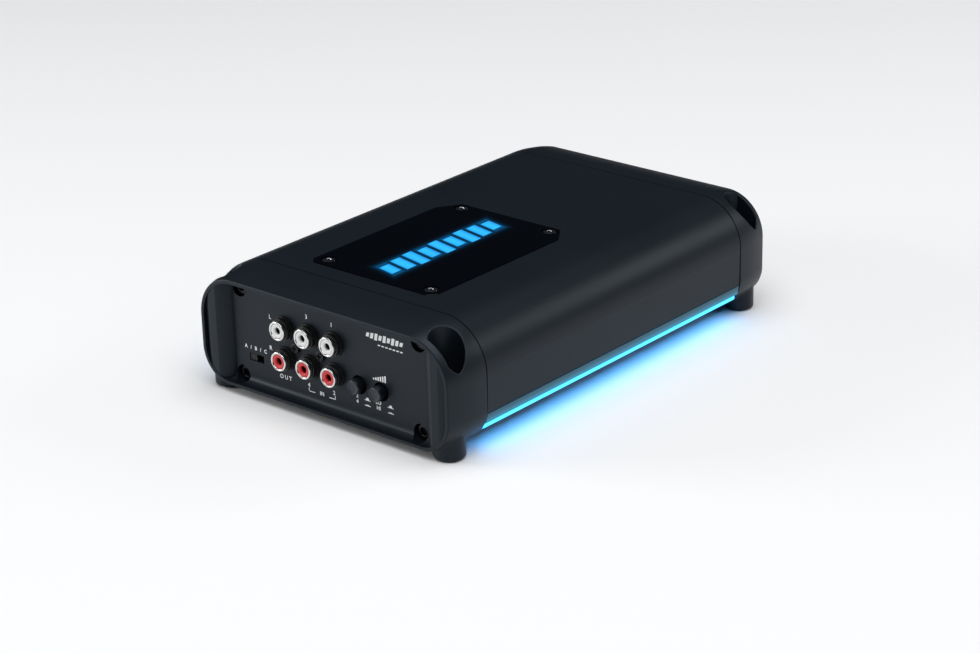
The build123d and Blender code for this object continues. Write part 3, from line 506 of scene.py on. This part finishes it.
# the marks of one panel as a single piece
def joined(name, parts):
    work = bmesh.new()
    for part in parts:
        work.from_mesh(part)
        bpy.data.meshes.remove(part)
    bmesh.ops.remove_doubles(work, verts=work.verts, dist=1e-7)
    bmesh.ops.recalc_face_normals(work, faces=work.faces)
    mesh = bpy.data.meshes.new(name)
    work.to_mesh(mesh)
    work.free()
    placePiece(name, mesh, ink, "housing")


# text, place across, place up and size, in millimetres
frontText = [("L", -32.4, 38.0, 2.6), ("R", -32.9, 24.0, 2.6), ("3", -11.4, 43.1, 2.7),
             ("1", 2.6, 43.0, 2.7), ("4", -11.7, 12.8, 2.7), ("2", 2.4, 12.9, 2.7),
             ("OUT", -25.0, 12.7, 2.6), ("IN", -4.5, 10.7, 2.4), ("A / B / C", -41.8, 21.4, 2.3),
             ("2", 15.4, 15.2, 2.3), ("4", 15.4, 12.8, 2.3), ("LO", 27.0, 15.2, 2.3),
             ("HI", 27.0, 12.8, 2.3)]
frontMarks = [printOn("front", words(text, size, 1.5 if len(text) > 2 else 1.0), x, z)
              for text, x, z, size in frontText]
# bracket under the input jacks
for x in (-11.8, 2.9):
    frontMarks.append(printOn("front", bar(0.35, 1.6), x, 10.9))
for x in (-10.1, 1.2):
    frontMarks.append(printOn("front", bar(3.4, 0.35), x, 10.2))
# rising bars above the level button
for step in range(6):
    frontMarks.append(printOn("front", bar(0.75, 0.7 + 0.45 * step), 24.9 + 1.25 * step,
                              25.3 + 0.225 * step))
# push marks: a plunger out, and a plunger in
for x in (21.0, 33.6):
    for z, tall in ((15.2, 1.0), (12.8, 0.35)):
        frontMarks.append(printOn("front", bar(3.2, 0.28), x, z - 0.6))
        frontMarks.append(printOn("front", plate([(-0.9, 0), (0.9, 0), (0.55, tall),
                                                  (-0.55, tall)]), x, z - 0.5))
# maker's place: a plain row of slanted bars over a dashed line
for step, tall in enumerate((1.8, 2.4, 3.0, 2.2, 3.0, 2.2, 3.0, 2.4, 1.8)):
    frontMarks.append(printOn("front", bar(1.55, tall, 0.3), 22.6 + 2.25 * step, 43.9))
for step in range(7):
    frontMarks.append(printOn("front", bar(1.3, 0.55, 0.1), 28.6 + 2.0 * step, 40.6))
joined("frontLegends", frontMarks)

# rear: polarity under each way, channel numbers over the pairs
wayPitch = 6.5
rearMarks = []
for x, text in zip((-41.6, -30.0, -18.4), ("+", "R", "-")):
    rearMarks.append(printOn("rear", words(text, 3.0), x, 11.2))
for way in range(8):
    rearMarks.append(printOn("rear", words("+-"[way % 2], 2.6), wayPitch * way - 1.75, 11.4))
for pair in range(4):
    middle = 1.5 + 2 * wayPitch * pair
    rearMarks.append(printOn("rear", words(str(pair + 1), 2.8), middle, 34.6))
    rearMarks.append(printOn("rear", bar(9.0, 0.3), middle, 32.7))
joined("rearLegends", rearMarks)
print("legends made:", len(frontMarks) + len(rearMarks), "marks")

# studio: pale floor, soft panels, camera
studio = {"floorSize": 9.0, "floorColor": (0.90, 0.90, 0.905), "seenWorld": 0.86,
          "worldLight": (0.022, 0.029, 0.037),
          "lens": 95.82, "azimuth": 40.60, "elevation": 22.37, "roll": -1.46,
          "distance": 1.13296, "aim": (0.0, 0.0, 0.028), "shiftLeft": 0.00031,
          "shiftDown": 0.01871, "floorGap": 0.2 * mm}
span = studio["floorSize"] / 2
floorMesh = bpy.data.meshes.new("floor")
floorMesh.from_pydata([(-span, -span, 0), (span, -span, 0), (span, span, 0), (-span, span, 0)],
                      [], [(0, 1, 2, 3)])
floor = bpy.data.objects.new("floor", floorMesh)
bpy.context.scene.collection.objects.link(floor)
floor.location.z = -studio["floorGap"]
floorFinish = Finish("paleFloor", studio["floorColor"], Roughness=0.7)
floorMesh.materials.append(floorFinish.material)

# the room is dim, but is seen as pale as the floor
world = bpy.data.worlds.new("studioWorld")
world.use_nodes = True
worldNodes = world.node_tree.nodes
worldLinks = world.node_tree.links
dimRoom = worldNodes["Background"]
dimRoom.inputs["Color"].default_value = (*studio["worldLight"], 1)
paleRoom = worldNodes.new("ShaderNodeBackground")
paleRoom.inputs["Color"].default_value = (1, 1, 1, 1)
paleRoom.inputs["Strength"].default_value = studio["seenWorld"]
seenPart = worldNodes.new("ShaderNodeMixShader")
worldLinks.new(worldNodes.new("ShaderNodeLightPath").outputs["Is Camera Ray"], seenPart.inputs[0])
worldLinks.new(dimRoom.outputs[0], seenPart.inputs[1])
worldLinks.new(paleRoom.outputs[0], seenPart.inputs[2])
worldLinks.new(seenPart.outputs[0], worldNodes["World Output"].inputs["Surface"])
bpy.context.scene.world = world
bpy.context.scene.view_settings.view_transform = "Standard"

# name: place, aim, width, height, power
softLights = {
    "overheadPanel": ((0.35, -0.25, 1.9), (0.1, -0.05, 0.0), 2.2, 2.4, 50.0),
    "keyPanel": ((-1.2, -0.95, 0.42), (0, 0, 0.03), 0.7, 0.5, 10.0),
    "edgePanel": ((0.95, 1.2, 0.72), (0, 0, 0.03), 1.0, 0.55, 5.0),
}
for name, (place, aim, width, height, power) in softLights.items():
    lamp = bpy.data.lights.new(name, "AREA")
    lamp.shape = "RECTANGLE"
    lamp.size = width
    lamp.size_y = height
    lamp.energy = power
    panel = bpy.data.objects.new(name, lamp)
    bpy.context.scene.collection.objects.link(panel)
    panel.location = place
    panel.rotation_euler = (Vector(aim) - Vector(place)).to_track_quat("-Z", "Y").to_euler()

azimuth = math.radians(studio["azimuth"])
elevation = math.radians(studio["elevation"])
roll = math.radians(studio["roll"])
back = Vector((math.sin(azimuth) * math.cos(elevation),
               -math.cos(azimuth) * math.cos(elevation), math.sin(elevation)))
level = Vector((math.cos(azimuth), math.sin(azimuth), 0))
upright = back.cross(level)
right = level * math.cos(roll) + upright * math.sin(roll)
up = upright * math.cos(roll) - level * math.sin(roll)
cameraData = bpy.data.cameras.new("camera")
cameraData.lens = studio["lens"]
cameraData.sensor_width = 36
cameraData.clip_start = 0.01
camera = bpy.data.objects.new("camera", cameraData)
bpy.context.scene.collection.objects.link(camera)
place = (Vector(studio["aim"]) + back * studio["distance"] - right * studio["shiftLeft"]
         - up * studio["shiftDown"])
camera.matrix_world = Matrix((
    (right.x, up.x, back.x, place.x),
    (right.y, up.y, back.y, place.y),
    (right.z, up.z, back.z, place.z),
    (0, 0, 0, 1)))
bpy.context.scene.camera = camera
print("studio ready")
